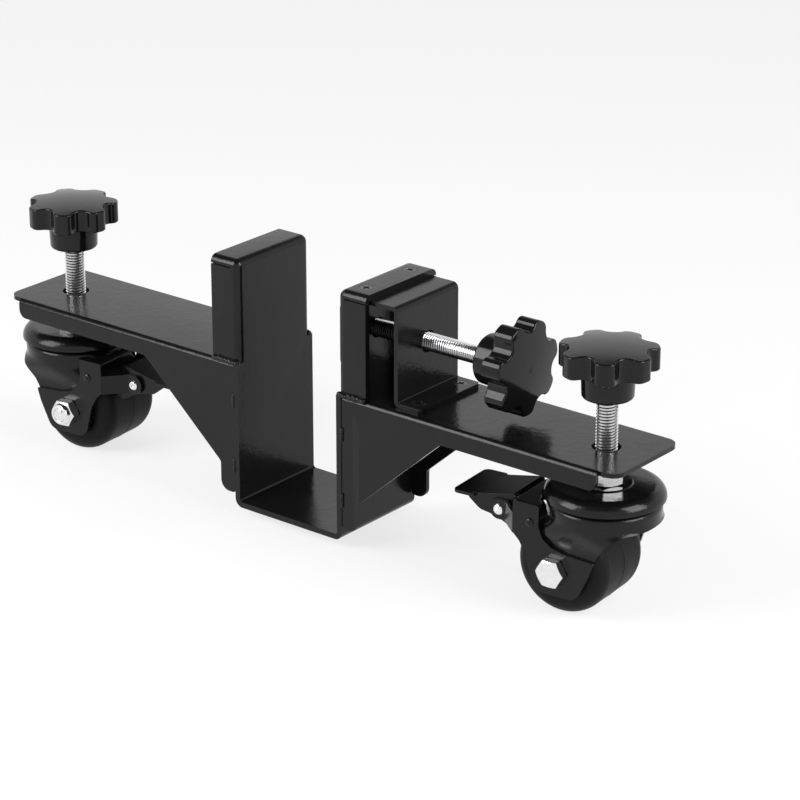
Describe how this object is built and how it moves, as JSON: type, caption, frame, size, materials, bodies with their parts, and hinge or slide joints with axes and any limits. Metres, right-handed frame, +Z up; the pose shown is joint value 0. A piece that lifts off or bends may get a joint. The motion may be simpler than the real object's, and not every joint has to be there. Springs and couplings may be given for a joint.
{
  "type": "door dolly",
  "caption": "Door dolly: a steel saddle holds a panel on edge with a screw clamp, and an arm on each side stands on a braked swivel caster raised by a star-knob lift screw.",
  "frame": {"origin": "on the floor, under the middle of the saddle", "axes": "+X along the arms towards the clamp side, +Y along the door, +Z up"},
  "size_m": [0.5286, 0.085, 0.1785],
  "materials": {
    "black_paint": "gloss powder coat",
    "knob_plastic": "gloss",
    "zinc": "bright zinc",
    "wheel_nylon": "satin",
    "black_rubber": "matt",
    "bush_bronze": "satin"
  },
  "bodies": {
    "frame": {"saddle": "black_paint", "left_arm": "black_paint", "right_arm": "black_paint", "left_lift_nut": "black_paint", "right_lift_nut": "black_paint", "clamp_bracket": "black_paint", "clamp_nut": "black_paint", "bracket_top_screws": "black_paint", "bracket_foot_screws": "black_paint"},
    "pressure_foot": {"pressure_plate": "black_paint", "pressure_pad": "black_rubber"},
    "clamp_spindle": {"clamp_screw": "zinc", "clamp_knob": "knob_plastic", "clamp_set_screw": "zinc", "screw_retainer": "zinc"},
    "left_bearing": {"left_ball_cage": "zinc"},
    "left_spindle": {"left_lift_screw": "zinc", "left_lift_knob": "knob_plastic", "left_knob_set_screw": "zinc", "left_stem_nut": "zinc", "left_swivel_cap": "black_paint"},
    "left_fork": {"left_fork": "black_paint", "left_axle_bolt": "zinc", "left_axle_nut": "zinc", "left_axle_sleeve": "zinc", "left_brake_plate_head": "black_paint", "left_brake_plate_nut": "black_paint", "left_brake_rivets": "black_paint", "left_brake_pin": "zinc"},
    "left_wheel": {"left_wheel": "wheel_nylon", "left_wheel_bushes": "bush_bronze"},
    "left_pedal": {"left_brake_pedal": "black_paint", "left_brake_shoe": "black_rubber"},
    "right_bearing": {"right_ball_cage": "zinc"},
    "right_spindle": {"right_lift_screw": "zinc", "right_lift_knob": "knob_plastic", "right_knob_set_screw": "zinc", "right_stem_nut": "zinc", "right_swivel_cap": "black_paint"},
    "right_fork": {"right_fork": "black_paint", "right_axle_bolt": "zinc", "right_axle_nut": "zinc", "right_axle_sleeve": "zinc", "right_brake_plate_head": "black_paint", "right_brake_plate_nut": "black_paint", "right_brake_rivets": "black_paint", "right_brake_pin": "zinc"},
    "right_wheel": {"right_wheel": "wheel_nylon", "right_wheel_bushes": "bush_bronze"},
    "right_pedal": {"right_brake_pedal": "black_paint", "right_brake_shoe": "black_rubber"}
  },
  "joints": [
    {"name": "clamp_slide", "type": "slide", "parent": "frame", "child": "pressure_foot", "axis": [-1, 0, 0], "range_m": [0, 0.042]},
    {"name": "clamp_turn", "type": "hinge", "parent": "pressure_foot", "child": "clamp_spindle", "pos_m": [0.09, 0, 0.1435], "axis": [-1, 0, 0], "range_deg": [0, 8640]},
    {"name": "left_lift", "type": "slide", "parent": "frame", "child": "left_bearing", "axis": [0, 0, -1], "range_m": [0, 0.028]},
    {"name": "left_knob_turn", "type": "hinge", "parent": "left_bearing", "child": "left_spindle", "pos_m": [-0.226, 0, 0.12], "axis": [0, 0, -1], "range_deg": [0, 5040]},
    {"name": "left_swivel", "type": "hinge", "parent": "left_bearing", "child": "left_fork", "pos_m": [-0.226, 0, 0.07], "axis": [0, 0, 1], "continuous": true},
    {"name": "left_wheel_spin", "type": "hinge", "parent": "left_fork", "child": "left_wheel", "pos_m": [-0.20956, 0.00144, 0.03175], "axis": [-0.0872, 0.9962, 0], "continuous": true},
    {"name": "left_brake", "type": "hinge", "parent": "left_fork", "child": "left_pedal", "pos_m": [-0.16155, 0.00564, 0.057], "axis": [-0.0872, 0.9962, 0], "range_deg": [0, 10]},
    {"name": "right_lift", "type": "slide", "parent": "frame", "child": "right_bearing", "axis": [0, 0, -1], "range_m": [0, 0.028]},
    {"name": "right_knob_turn", "type": "hinge", "parent": "right_bearing", "child": "right_spindle", "pos_m": [0.226, 0, 0.12], "axis": [0, 0, -1], "range_deg": [0, 5040]},
    {"name": "right_swivel", "type": "hinge", "parent": "right_bearing", "child": "right_fork", "pos_m": [0.226, 0, 0.07], "axis": [0, 0, 1], "continuous": true},
    {"name": "right_wheel_spin", "type": "hinge", "parent": "right_fork", "child": "right_wheel", "pos_m": [0.20956, -0.00144, 0.03175], "axis": [0.0872, -0.9962, 0], "continuous": true},
    {"name": "right_brake", "type": "hinge", "parent": "right_fork", "child": "right_pedal", "pos_m": [0.16155, -0.00564, 0.057], "axis": [0.0872, -0.9962, 0], "range_deg": [0, 10]}
  ],
  "couplings": [
    {"joint": "clamp_turn", "follows": "clamp_slide", "rad_per_m": 3590.4},
    {"joint": "left_knob_turn", "follows": "left_lift", "rad_per_m": 3141.6},
    {"joint": "right_knob_turn", "follows": "right_lift", "rad_per_m": 3141.6}
  ]
}
